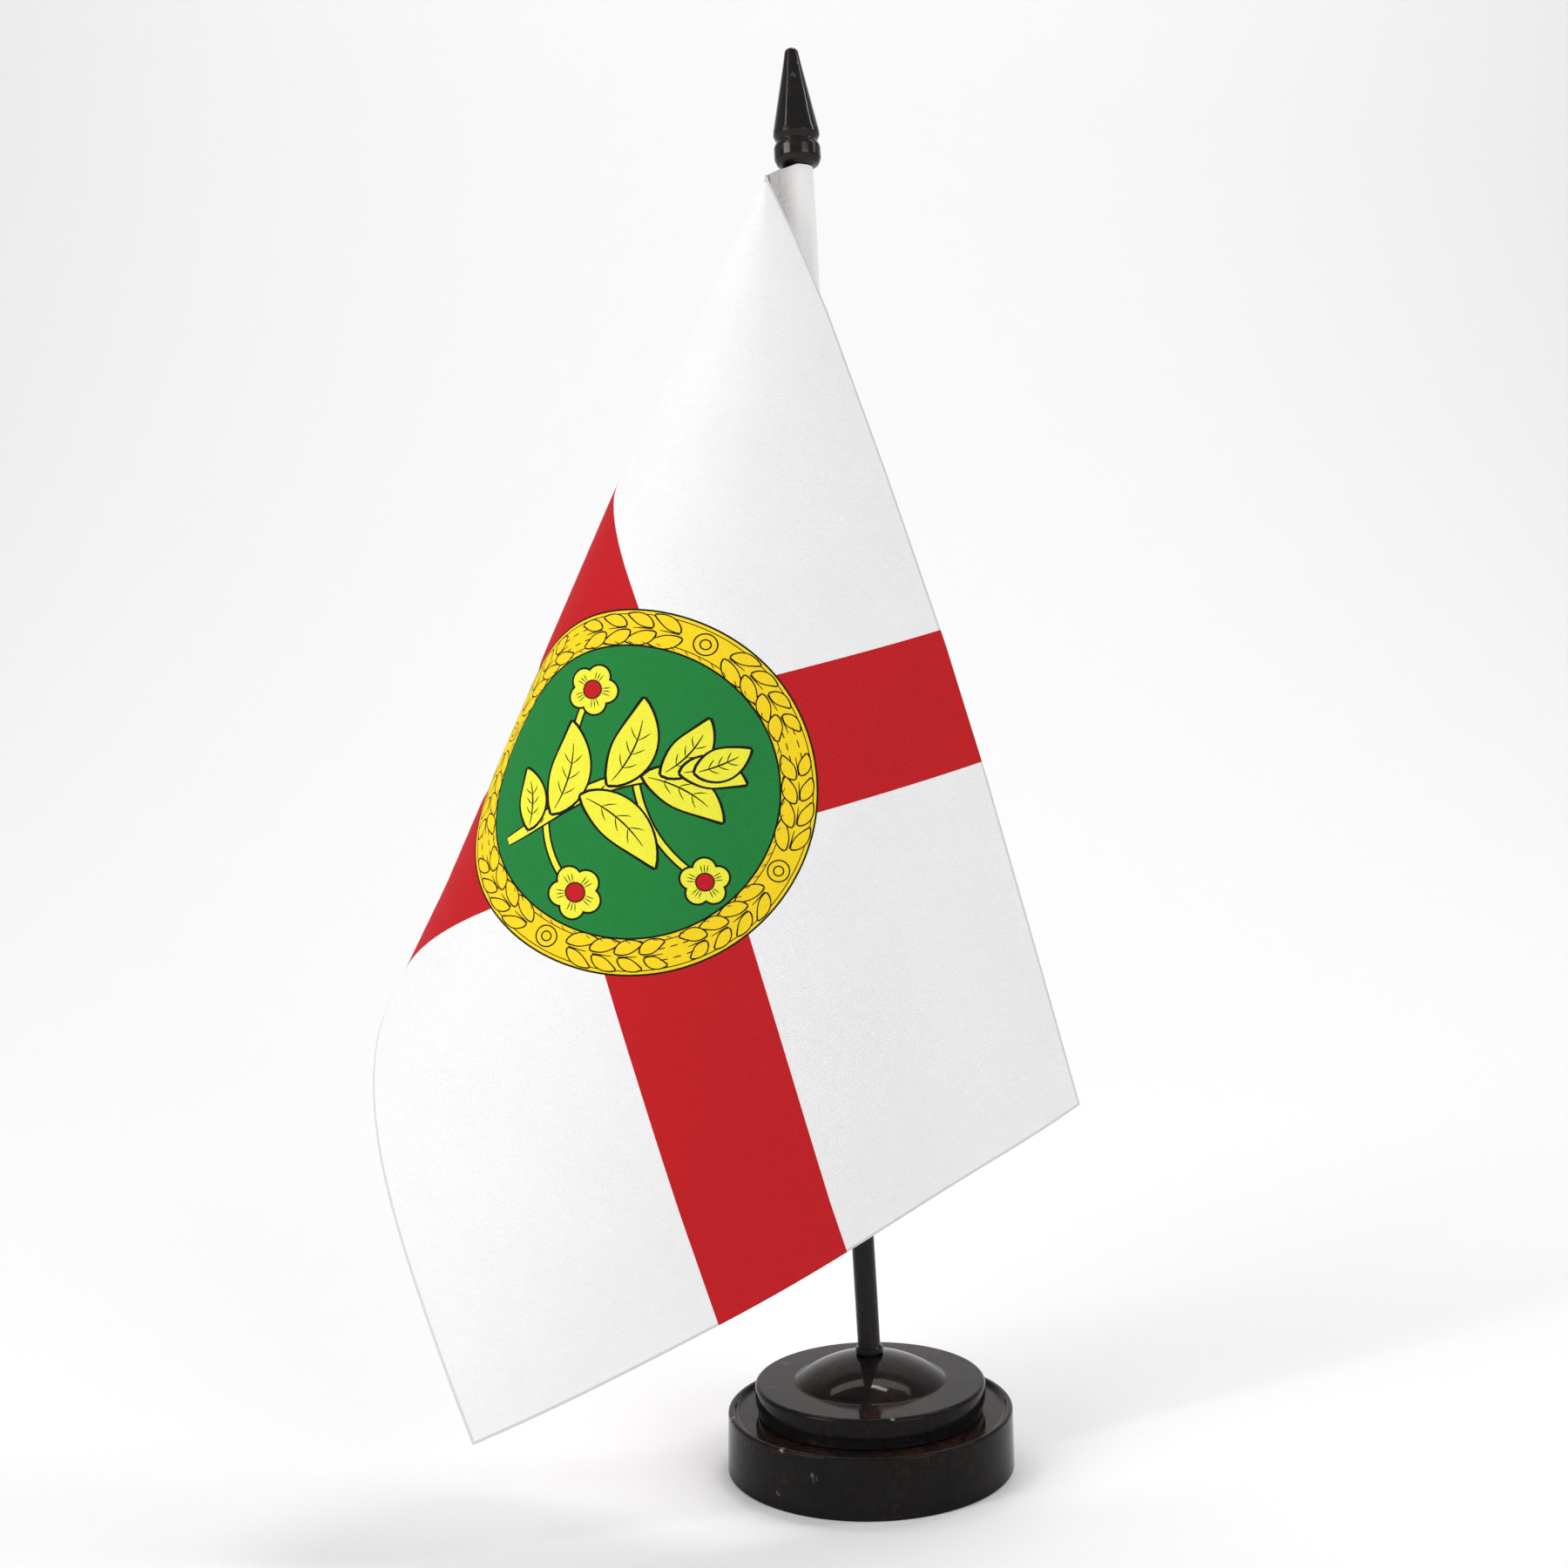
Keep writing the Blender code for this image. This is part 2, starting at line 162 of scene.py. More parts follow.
def plastic(name, tint, rough, level, marks=(), peel=1.0, drawn=False):
    """Black glossy moulding: a slow ripple left by the mould, a fine haze of
    handling, a faint rubbed grain, a little dust, and a few named scuffs."""
    n = Nodes(name)
    b = n.bsdf
    obj = n.place("Object")
    haze = n.noise(obj, 70.0, 4.0, 0.6)
    cloud = n.noise(obj, 260.0, 5.0, 0.62)
    dust = n.add("ShaderNodeTexVoronoi", feature='F1')
    n.wire(obj, dust.inputs["Vector"])
    dust.inputs["Scale"].default_value = 260.0
    rare = n.add("ShaderNodeSeparateColor")
    n.wire(dust.outputs["Color"], rare.inputs[0])
    speck = n.math('MULTIPLY', n.ramp(dust.outputs["Distance"], 0.10, 0.04),
                   n.ramp(rare.outputs[0], 0.955, 0.975))
    # rubbing: a faint grain drawn round the piece
    rub = n.noise(n.place("Object", (140.0, 140.0, 1900.0)), 1.0, 4.0, 0.65)
    scuff = None
    for at, size, strength in marks:
        gone = n.vector('DISTANCE', obj, tuple(c * MM for c in at))
        near = n.ramp(gone, size * MM, size * MM * 0.35)
        grain = n.ramp(n.noise(obj, 1700.0, 4.0, 0.7), 0.50, 0.62)
        one = n.math('MULTIPLY', n.math('MULTIPLY', near, grain), strength)
        scuff = one if scuff is None else n.math('MAXIMUM', scuff, one)
    wear_and_painted_shade = n.math('MULTIPLY', speck, 0.7)
    if scuff is not None:
        wear_and_painted_shade = n.math('MAXIMUM', wear_and_painted_shade, scuff)
    # the pigment is uneven: brown and blue-green flecks in loose patches
    fleck = n.noise(obj, 780.0, 3.0, 0.65)
    patch = n.ramp(haze, 0.40, 0.62)
    warm = n.mix(n.math('MULTIPLY', n.ramp(fleck, 0.47, 0.60), patch), tint,
                 tuple(c + a for c, a in zip(tint, (0.0105, 0.0034, 0.0022))))
    warm = n.mix(n.math('MULTIPLY', n.ramp(cloud, 0.55, 0.40), 0.8), warm,
                 tuple(c + a for c, a in zip(tint, (0.0000, 0.0026, 0.0024))))
    # painted sheen: faces that look up are browner in the same patches, for the brown reflection on
    # their gloss
    way = n.add("ShaderNodeSeparateXYZ")
    n.wire(n.place("Normal"), way.inputs[0])
    painted_top_sheen = n.math('MULTIPLY', n.ramp(way.outputs[2], 0.75, 0.97),
                  n.math('MULTIPLY', n.ramp(fleck, 0.38, 0.60), n.ramp(haze, 0.30, 0.58)))
    warm = n.mix(n.math('MULTIPLY', painted_top_sheen, 0.9), warm, (0.034, 0.0150, 0.0105))
    n.wire(n.mix(wear_and_painted_shade, warm, (0.30, 0.27, 0.245)), b.inputs["Base Color"])
    r = n.math('ADD', n.ramp(haze, 0.35, 0.7, rough * 0.75, rough * 1.35),
               n.math('MULTIPLY', n.ramp(cloud, 0.45, 0.7), rough * 0.5))
    r = n.math('ADD', r, n.ramp(rub, 0.45, 0.75, 0.0, rough * 0.5))
    r = n.math('ADD', r, n.math('MULTIPLY', wear_and_painted_shade, 0.35), clamp=True)
    n.wire(r, b.inputs["Roughness"])
    # the mould's own ripple, then the scratches
    first = n.bump(n.noise(obj, 160.0, 2.0, 0.45), 0.00010 * peel, 0.55)
    if drawn:
        lines = n.noise(n.place("Object", (1500.0, 1500.0, 6.0)), 1.0, 3.0, 0.6)
        first = n.bump(lines, 0.00003, 0.35, first)
    n.wire(n.bump(n.math('MULTIPLY', wear_and_painted_shade, -1.0), 0.00003, 0.5, first),
           b.inputs["Normal"])
    b.inputs["Metallic"].default_value = 0.0
    b.inputs["IOR"].default_value = 1.46
    b.inputs["Specular IOR Level"].default_value = level
    b.inputs["Specular Tint"].default_value = (1.0, 0.89, 0.83, 1.0)
    return n.mat


THREAD_MM = 0.42
UV_SPAN = 220.0          # the flat cloth's UV covers this many millimetres


def cloth(name, colour, rough=0.82, ink=0.0, sheen=0.12, painted_fold_shade=0.0):
    """Plain-woven polyester.  Each thread goes over and under the next, so
    the height of the weave is the higher of two waves in turn."""
    n = Nodes(name)
    b = n.bsdf
    uv = n.place("UV", (UV_SPAN, UV_SPAN, 1.0))       # millimetres on the flat
    sep = n.add("ShaderNodeSeparateXYZ")
    wob = n.noise(uv, 0.35, 2.0)
    n.wire(uv, sep.inputs[0])
    x = n.math('ADD', sep.outputs[0], n.math('MULTIPLY', wob, 0.25))
    y = n.math('ADD', sep.outputs[1], n.math('MULTIPLY', wob, 0.25))
    k = math.pi / THREAD_MM
    sx = n.math('SINE', n.math('MULTIPLY', x, k))
    sy = n.math('SINE', n.math('MULTIPLY', y, k))
    over = n.math('MULTIPLY', sx, sy)                       # -1..1, a chessboard
    warp = n.math('ABSOLUTE', sx)
    weft = n.math('ABSOLUTE', sy)
    pick = n.ramp(over, -0.35, 0.35)
    weave = n.math('ADD', n.math('MULTIPLY', warp, pick),
                   n.math('MULTIPLY', weft, n.math('SUBTRACT', 1.0, pick)))
    slub = n.noise(n.place("UV", (UV_SPAN * 0.25, UV_SPAN * 3.2, 1.0)), 1.0, 3.0, 0.6)
    slub2 = n.noise(n.place("UV", (UV_SPAN * 3.2, UV_SPAN * 0.25, 1.0)), 1.0, 3.0, 0.6)
    slubs = n.math('ADD', slub, slub2)
    soft = n.noise(uv, 0.06, 3.0, 0.5)
    fuzz = n.noise(uv, 5.5, 3.0, 0.7)
    shade = n.math('ADD', n.ramp(weave, 0.15, 0.95, 0.955 - 0.02 * ink, 1.0),
                   n.ramp(slubs, 0.8, 1.25, -0.012 - 0.02 * ink, 0.012 + 0.02 * ink))
    shade = n.math('ADD', shade, n.ramp(soft, 0.3, 0.7, -0.008, 0.008))
    shade = n.math('ADD', shade, n.ramp(fuzz, 0.3, 0.7, -0.012, 0.012))
    grey = n.add("ShaderNodeCombineColor")
    for i in range(3):
        n.wire(shade, grey.inputs[i])
    c = n.mix(1.0, colour, grey.outputs[0], 'MULTIPLY')
    if ink:
        # the print sinks in, and white threads show through a little
        c = n.mix(n.math('MULTIPLY', n.ramp(weave, 0.82, 1.0), 0.015 * ink), c,
                  (0.80, 0.80, 0.80))
    if painted_fold_shade:
        # painted shade: greyer toward the seam, for the shadow that the fold in front casts on the
        # sleeve
        inward = n.math('MINIMUM', sep.outputs[0],
                        n.math('SUBTRACT', 29.8, sep.outputs[0]))
        wear_and_painted_shade = n.math('MULTIPLY', n.ramp(inward, 7.6, 2.5, 0.0, painted_fold_shade),
                      n.ramp(n.noise(uv, 1.3, 4.0, 0.65), 0.25, 0.7, 0.65, 1.0))
        c = n.mix(wear_and_painted_shade, c, (0.22, 0.175, 0.16))
    n.wire(c, b.inputs["Base Color"])
    n.wire(n.ramp(weave, 0.1, 1.0, rough + 0.06, rough - 0.05), b.inputs["Roughness"])
    first = n.bump(soft, 0.0004, 0.35)
    second = n.bump(slubs, 0.00006, 0.4, first)
    n.wire(n.bump(weave, 0.00009, 0.55, second), b.inputs["Normal"])
    b.inputs["Specular IOR Level"].default_value = 0.12 if ink else 0.25
    b.inputs["Sheen Weight"].default_value = 0.02 if ink else sheen
    b.inputs["Sheen Roughness"].default_value = 0.45
    b.inputs["Sheen Tint"].default_value = (1.0, 1.0, 1.0, 1.0)
    return n.mat


def thread_material():
    n = Nodes("white_sewing_thread")
    b = n.bsdf
    obj = n.place("Object")
    fuzz = n.noise(obj, 3200.0, 3.0, 0.7)
    long = n.noise(n.place("Object", (5200.0, 5200.0, 700.0)), 1.0, 2.0, 0.5)
    n.wire(n.mix(n.ramp(long, 0.35, 0.65), (0.70, 0.70, 0.69), (0.86, 0.86, 0.86)),
           b.inputs["Base Color"])
    n.wire(n.ramp(fuzz, 0.3, 0.7, 0.55, 0.75), b.inputs["Roughness"])
    n.wire(n.bump(long, 0.00005, 0.6), b.inputs["Normal"])
    b.inputs["Sheen Weight"].default_value = 0.2
    return n.mat


def srgb(r, g, b):
    f = lambda c: c / 12.92 if c <= 0.04045 else ((c + 0.055) / 1.055) ** 2.4
    return tuple(f(c / 255) for c in (r, g, b))


# ============================================================ turned pieces
def rounded(corners, steps=8):
    """(r, z, fillet) corners with arcs, and a support point either side of
    each straight run, so that flat faces stay flat in the light."""
    out = []
    n = len(corners)
    for i, (x, z, f) in enumerate(corners):
        p = Vector((x, z))
        if f <= 0 or i in (0, n - 1):
            out.append([(x, z)])
            continue
        a = Vector(corners[i - 1][:2]) - p
        b = Vector(corners[i + 1][:2]) - p
        la, lb = a.length, b.length
        a.normalize()
        b.normalize()
        half = math.acos(max(-1.0, min(1.0, a.dot(b)))) / 2
        d = min(f / math.tan(half), 0.49 * la, 0.49 * lb)
        r = d * math.tan(half)
        c = p + (a + b).normalized() * (r / math.sin(half))
        s, e = p + a * d - c, p + b * d - c
        turn = math.atan2(s.x * e.y - s.y * e.x, s.dot(e))
        run = []
        for k in range(steps + 1):
            t = turn * k / steps
            run.append((c.x + s.x * math.cos(t) - s.y * math.sin(t),
                        c.y + s.x * math.sin(t) + s.y * math.cos(t)))
        out.append(run)
    pts = []
    for run, nxt in zip(out, out[1:] + [None]):
        pts += run
        if nxt is None:
            break
        a, b = Vector(run[-1]), Vector(nxt[0])
        length = (b - a).length
        if length > 0.5:
            e = min(0.12, length * 0.2)
            pts += [tuple(a.lerp(b, e / length)), tuple(a.lerp(b, 1 - e / length))]
    return pts


def arc(cx, cz, r, a0, a1, n):
    return [(cx + r * math.cos(a0 + (a1 - a0) * k / n),
             cz + r * math.sin(a0 + (a1 - a0) * k / n)) for k in range(n + 1)]


def turned(name, profile, mat, closed, segments, where=Matrix.Identity(4), sharp=40):
    """Spin a profile of (r, z) about Z, then put it in place."""
    bm = bmesh.new()
    vs = []
    for r, z in profile:
        if vs and (Vector((r, 0, z)) * MM - vs[-1].co).length < 8e-6:
            continue
        vs.append(bm.verts.new((r * MM, 0.0, z * MM)))
    edges = [bm.edges.new(p) for p in zip(vs, vs[1:])]
    if closed:
        edges.append(bm.edges.new((vs[-1], vs[0])))
    bmesh.ops.spin(bm, geom=vs + edges, axis=(0, 0, 1), cent=(0, 0, 0),
                   angle=2 * math.pi, steps=segments, use_duplicate=False)
    bmesh.ops.remove_doubles(bm, verts=bm.verts, dist=1.5e-6)
    bmesh.ops.recalc_face_normals(bm, faces=bm.faces)
    me = bpy.data.meshes.new(name)
    bm.to_mesh(me)
    bm.free()
    put = where.copy()
    put.translation = put.translation * MM
    me.transform(put)
    me.materials.append(mat)
    me.shade_smooth()
    me.set_sharp_from_angle(angle=math.radians(sharp))
    ob = bpy.data.objects.new(name, me)
    bpy.context.scene.collection.objects.link(ob)
    return ob


# scuffs on the base, (x, y, z) mm, size mm, strength
disc_marks = (
    ((-26.9, -6.5, 11.0), 1.6, 1.0), ((-26.0, -9.3, 10.9), 1.2, 0.8),
    ((-16.5, -22.9, 11.5), 0.9, 1.0), ((2.6, -26.3, 10.9), 0.5, 1.0),
    ((-10.6, -26.5, 7.5), 1.3, 0.35), ((-17.5, -22.4, 3.1), 0.8, 0.4),
    ((11.5, -24.2, 10.9), 0.8, 0.7), ((24.0, 13.5, 11.2), 1.2, 0.7),
    ((-8.0, 27.2, 6.0), 1.5, 0.4),
)
cap_marks = (
    ((4.2, -22.3, 16.7), 0.6, 0.9), ((-17.5, 9.5, 16.9), 1.6, 0.3),
    ((14.0, 14.2, 16.9), 1.3, 0.3), ((-19.7, -4.0, 16.9), 0.8, 0.3),
)
axis_dir = STICK_FRAME.to_3x3() @ Vector((0, 0, 1))
fin_at = STICK_FRAME @ Vector((0, 0, FINIAL_LOW))
finial_marks = (
    (tuple(fin_at + axis_dir * 17.3 + Vector((0.0, -2.2, 0))), 0.9, 0.5),
    (tuple(fin_at + axis_dir * 20.3 + Vector((1.2, -1.3, 0))), 0.7, 0.5),
    (tuple(fin_at + axis_dir * 7.3 + Vector((3.0, -3.3, 0))), 0.6, 0.5),
)
disc_mat = plastic("black_gloss_disc", (0.0075, 0.0072, 0.0072), 0.085, 0.092, disc_marks)
cap_mat = plastic("black_gloss_cap", (0.0075, 0.0072, 0.0072), 0.075, 0.092, cap_marks)
stick_mat = plastic("black_drawn_rod", (0.008, 0.008, 0.0083), 0.20, 0.20, drawn=True)
finial_mat = plastic("black_gloss_finial", (0.0075, 0.0072, 0.0072), 0.11, 0.28,
                     finial_marks, peel=1.4)

disc = turned("disc_moulding", rounded([
    (DISC_HOLE_R, DISC_TOP_Z - 0.9, 0),
    (DISC_HOLE_R, DISC_TOP_Z, 0.15),
    (26.7, DISC_TOP_Z, 1.2),
    (27.3, DISC_RIM_Z, 0.4),
    (DISC_R_RIM, DISC_RIM_Z, 0.6),
    (DISC_R_FOOT, 0.0, 0.35),
    (DISC_R_FOOT - DISC_WALL, 0.0, 0.2),
    (DISC_R_RIM - DISC_WALL, DISC_TOP_Z - DISC_WALL, 0.7),
    (DISC_HOLE_R, DISC_TOP_Z - DISC_WALL, 0.15),
    (DISC_HOLE_R, DISC_TOP_Z - 0.92, 0),
]), disc_mat, True, 224)
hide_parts("base_disc")
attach(disc, "base")

R = (DOME_R ** 2 + DOME_RISE ** 2) / (2 * DOME_RISE)
cz = FLANGE_TOP_Z + DOME_RISE - R
top_a = math.asin((BORE_R + 0.12) / R)
rim_a = math.asin((DOME_R - 0.25) / R)
cap_profile = [(0.0, BORE_FLOOR_Z), (BORE_R * 0.5, BORE_FLOOR_Z), (BORE_R - 0.1, BORE_FLOOR_Z),
               (BORE_R, BORE_FLOOR_Z + 0.1), (BORE_R, BORE_FLOOR_Z + 4.0),
               (BORE_R, cz + R * math.cos(top_a) - 0.25),
               (BORE_R + 0.03, cz + R * math.cos(top_a) - 0.08)]
cap_profile += arc(0, cz, R, math.pi / 2 - top_a, math.pi / 2 - rim_a, 40)
end = Vector(cap_profile[-1])
# a small concave fillet where the dome meets the ring
for k in range(1, 6):
    t = k / 6
    q0, q1, q2 = end, Vector((DOME_R - 0.02, FLANGE_TOP_Z + 0.02)), \
        Vector((DOME_R + 0.28, FLANGE_TOP_Z))
    q = q0 * (1 - t) ** 2 + q1 * 2 * t * (1 - t) + q2 * t ** 2
    cap_profile.append((q.x, q.y))
inner_R = R - CAP_WALL
in_a = math.asin(BOSS_R / inner_R)
out_a = math.asin(14.2 / inner_R)
cap_profile += rounded([
    (DOME_R + 0.28, FLANGE_TOP_Z, 0),
    (FLANGE_R, FLANGE_TOP_Z, 0.75),
    (FLANGE_R, FLANGE_BOT_Z, 0.4),
    (NECK_R, FLANGE_BOT_Z, 0.05),
    (NECK_R, NECK_BOT_Z, 0.2),
    (SKIRT_R, NECK_BOT_Z, 0.1),
    (SKIRT_R, 8.55, 0.05),
    (SKIRT_R + 0.75, 8.45, 0.15),
    (SKIRT_R + 0.75, 7.95, 0.15),
    (SKIRT_R - 0.3, SKIRT_BOT_Z, 0.2),
    (SKIRT_R - 1.6, SKIRT_BOT_Z, 0.2),
    (SKIRT_R - 1.6, FLANGE_TOP_Z - CAP_WALL - 0.2, 0.6),
    (14.2, FLANGE_TOP_Z - CAP_WALL - 0.2, 0),
])
cap_profile += arc(0, cz, inner_R, math.pi / 2 - out_a, math.pi / 2 - in_a, 12)
cap_profile += rounded([
    (BOSS_R, cz + inner_R * math.cos(in_a) - 0.4, 0),
    (BOSS_R - 0.2, 0.0, 0.4),
    (0.0, 0.0, 0),
], steps=4)
cap = turned("cap_moulding", cap_profile, cap_mat, False, 224)
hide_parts("base_cap")
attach(cap, "base")

stick = turned("stick_rod", [(0.0, STICK_TOP)] + rounded([
    (0.0, STICK_TOP, 0),
    (STICK_R, STICK_TOP, 0.5),
    (STICK_R, COLLAR_LOW + 1.5, 0.3),
    (COLLAR_R, COLLAR_LOW + 0.95, 0.2),
    (COLLAR_R, COLLAR_LOW, 0.15),
    (SPIGOT_R, COLLAR_LOW, 0.05),
    (SPIGOT_R, SPIGOT_LOW, 0.6),
    (0.0, SPIGOT_LOW, 0),
], steps=5), stick_mat, False, 72, STICK_FRAME)
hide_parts("stick")
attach(stick, "stick")

spear = rounded([
    (0.0, FINIAL_BORE_DEPTH, 0),
    (FINIAL_BORE_R, FINIAL_BORE_DEPTH, 0.3),
    (FINIAL_BORE_R, 0.0, 0.15),
    (3.30, 0.0, 0.35),
    (4.10, 0.42, 0.9),
    (FINIAL_R, 1.55, 1.3),
    (FINIAL_R, 3.9, 1.2),
    (4.05, 5.05, 0.18),
    (FINIAL_R, 6.2, 0.35),
    (FINIAL_R - 0.06, 7.1, 0.5),
    (2.02, 19.2, 6.0),
    (1.42, 22.3, 0),
], steps=8)
tip = [(1.55 * math.cos(a) * 0.92, 22.35 + 1.25 * math.sin(a))
       for a in [math.pi / 2 * k / 10 for k in range(1, 11)]]
tip[-1] = (0.0, FINIAL_LEN)
finial = turned("spear_finial", spear + tip, finial_mat, False, 96,
                STICK_FRAME @ Matrix.Translation((0, 0, FINIAL_LOW)))
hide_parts("finial")
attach(finial, "finial")


# ============================================================== cloth surface
def smooth(x):
    x = np.clip(x, 0.0, 1.0)
    return x * x * (3 - 2 * x)


def bend_at(s):
    x = s * (len(FIELD_BEND) - 1)
    i = min(int(x), len(FIELD_BEND) - 2)
    return FIELD_BEND[i] + (FIELD_BEND[i + 1] - FIELD_BEND[i]) * (x - i)


def rulings(steps=1440):
    """The cone's unit directions for equal steps of the flat corner angle."""
    d = np.array((math.sin(LEAN), 0.0, -math.cos(LEAN)))
    t = np.array((-math.cos(FIELD_START), math.sin(FIELD_START), 0.0))
    t = t - d * (t @ d)
    t /= np.linalg.norm(t)
    h = (math.pi / 2) / steps
    out = [d.copy()]
    for i in range(steps):
        n = np.cross(d, t)
        t2 = t + (n * bend_at((i + 0.5) / steps) - d) * h
        d = d + t * h
        d /= np.linalg.norm(d)
        t = t2 - d * (t2 @ d)
        t /= np.linalg.norm(t)
        out.append(d.copy())
    return np.array(out)


RULE = rulings()
# the top edge bows to the right of the straight ruling, (r, mm)
BOW = ((0, 12.6, 27, 60, 96, 125, 160, 198, 245), (0, 1.6, 2.95, 3.9, 4.2, 3.5, 1.9, 0, 0))
# and the folded left side isn't quite straight either
SIDE = ((0, 30, 68, 100, 112, 152, 178, 200, 245), (0, -0.5, -1.4, -0.6, 0, 1.05, 0.5, 0, 0))


def surface(u, v, ripple=1.0):
    """Where a point of the flat cloth hangs, in millimetres."""
    u, v = np.asarray(u, float), np.asarray(v, float)
    r = np.hypot(u, v)
    phi = np.arctan2(v, u)
    x = (1 - phi / (math.pi / 2)) * (len(RULE) - 1)
    i = np.clip(x.astype(int), 0, len(RULE) - 2)
    w = np.clip(x - i, -0.5, 1.5)[..., None]
    d = RULE[i] * (1 - w) + RULE[i + 1] * w
    d /= np.linalg.norm(d, axis=-1, keepdims=True)
    p = SEAM_TOP + d * r[..., None]
    deg = np.degrees(phi)
    p[..., 1] -= FIELD_EASE * smooth((52 - deg) / 26) * r / (r + 5) * np.exp(-r / 80)
    p[..., 0] += np.interp(r, *BOW) * smooth((45 - deg) / 45)
    p[..., 0] += np.interp(r, *SIDE) * smooth((deg - 22) / 22) * smooth((84 - deg) / 20)
    # slack: slow waves that run down from the corner, and a looser fly end
    fan = np.sin(phi * 13.0 + 0.7 + 0.004 * r) * 0.75 \
        + np.sin(phi * 23.0 + 2.1 - 0.006 * r) * 0.28
    fan = fan * smooth((r - 35) / 150.0)
    loose = 0.45 * np.exp(-(FLY - u) / 26.0) * np.sin(v / 10.5 + 0.6) \
        + 0.35 * np.exp(-(HOIST - v) / 22.0) * np.sin(u / 13.0 + 1.9)
    wrinkle = 0.10 * np.sin(u / 5.3 + 1.3 * np.sin(v / 19.0)) * np.sin(v / 8.1 + 0.8 * np.sin(u / 23.0))
    near = smooth((r - 8) / 40.0)
    p[..., 1] -= ripple * (fan + loose * near + wrinkle * near) * (0.35 + 0.65 * smooth((60 - deg) / 25))
    return p


def surface_normal(u, v, h=0.05):
    a = surface(u + h, v) - surface(u - h, v)
    b = surface(u, v + h) - surface(u, v - h)
    n = np.cross(a, b)
    return n / np.maximum(np.linalg.norm(n, axis=-1, keepdims=True), 1e-12)


# ==================================================================== print
# The print's own frame: x from the hoist, y down from the top, centre (105, 70).
# It sits slightly askew on the cloth.
PRINT = (np.array((103.933, 68.621)),
         np.array(((107.083, 8.454, -1.246, 4.732, 1.218),
                   (-9.928, 74.729, 3.294, -3.601, 3.896))))


def print_at(u, v):
    x, y = (u - 99.0) / 99.0, (v - 70.0) / 70.0
    return PRINT[0] + PRINT[1] @ np.array((x, y, x * x, x * y, y * y))


def on_cloth(a, b):
    """(u, v) of a point of the print, by a few Newton steps."""
    u, v = a + 0.0, b + 0.0
    for _ in range(9):
        e = print_at(u, v) - (a, b)
        j = np.stack([(print_at(u + 0.01, v) - print_at(u - 0.01, v)) / 0.02,
                      (print_at(u, v + 0.01) - print_at(u, v - 0.01)) / 0.02], 1)
        s = np.linalg.solve(j, e)
        u, v = u - s[0], v - s[1]
    return u, v


art = []                 # (colour, closed loop of points), painted in turn


def paint(colour, loop):
    art.append((colour, [tuple(map(float, p)) for p in loop]))


def disc_loop(cx, cy, r, n=None):
    n = n or max(14, int(r * 5))
    return [(cx + r * math.cos(2 * math.pi * k / n), cy + r * math.sin(2 * math.pi * k / n))
            for k in range(n)]


def stroke(line, width, taper=0.0):
    """A line of some width as one loop; taper thins it towards both ends."""
    line = [Vector(p) for p in line]
    left, right = [], []
    for k, p in enumerate(line):
        t = line[min(k + 1, len(line) - 1)] - line[max(k - 1, 0)]
        t.normalize()
        side = Vector((-t.y, t.x))
        s = k / (len(line) - 1)
        w = width / 2 * (1 - taper * abs(2 * s - 1) ** 2)
        left.append(p + side * w)
        right.append(p - side * w)
    return [tuple(p) for p in left + right[::-1]]


def curve(p0, p1, bow, n=12):
    """From p0 to p1, bowed sideways by bow times the length."""
    a, b = Vector(p0), Vector(p1)
    side = Vector((-(b - a).y, (b - a).x))
    return [tuple(a.lerp(b, k / n) + side * bow * 4 * (k / n) * (1 - k / n))
            for k in range(n + 1)]


def leaf(root, angle, length, width, bow=0.08, fill="gold", vein=True, line=0.36, blunt=0.85):
    """A pointed leaf with a black outline, a midrib and side veins."""
    a = math.radians(angle)
    end = (root[0] + length * math.cos(a), root[1] + length * math.sin(a))
    rib = curve(root, end, bow, 18)

    def blade(grow):
        out = [[], []]
        for k, p in enumerate(rib):
            s = k / 18
            q, o = Vector(rib[min(k + 1, 18)]), Vector(rib[max(k - 1, 0)])
            t = (q - o).normalized()
            w = width / 2 * math.sin(math.pi * s ** blunt) ** 0.85 + grow
            shift = t * (grow * (2 * s - 1))
            out[0].append(tuple(Vector(p) + Vector((-t.y, t.x)) * w + shift))
            out[1].append(tuple(Vector(p) - Vector((-t.y, t.x)) * w + shift))
        return out[0] + out[1][::-1]

    paint("ink", blade(line))
    paint(fill, blade(0.01))
    if vein:
        paint("ink", stroke(rib[1:15], line * 0.8, 0.6))
        for k in (4, 7, 10):
            p, q = Vector(rib[k]), Vector(rib[k + 1])
            t = (q - p).normalized()
            for side in (-1, 1):
                d = t * 0.75 + Vector((-t.y, t.x)) * side * 0.66
                paint("ink", stroke(curve(tuple(p), tuple(p + d * width * 0.36), 0.06 * side, 5),
                                    line * 0.55, 0.7))


# the cross
CX, CY, ARM = 105.0, 70.0, 14.6
paint("red", [(-60, CY - ARM), (290, CY - ARM), (290, CY + ARM), (-60, CY + ARM)])
paint("red", [(CX - ARM, -60), (CX + ARM, -60), (CX + ARM, 210), (CX - ARM, 210)])
# the round badge: a leafy gold ring round a green ground
for colour, r in (("ink", 37.6), ("gold", 37.2), ("ink", 36.65), ("gold", 36.45),
                  ("ink", 31.15), ("gold", 30.95), ("ink", 30.2), ("green", 29.8)):
    paint(colour, disc_loop(CX, CY, r))


def polar(r, deg):
    return (CX + r * math.cos(math.radians(deg)), CY + r * math.sin(math.radians(deg)))


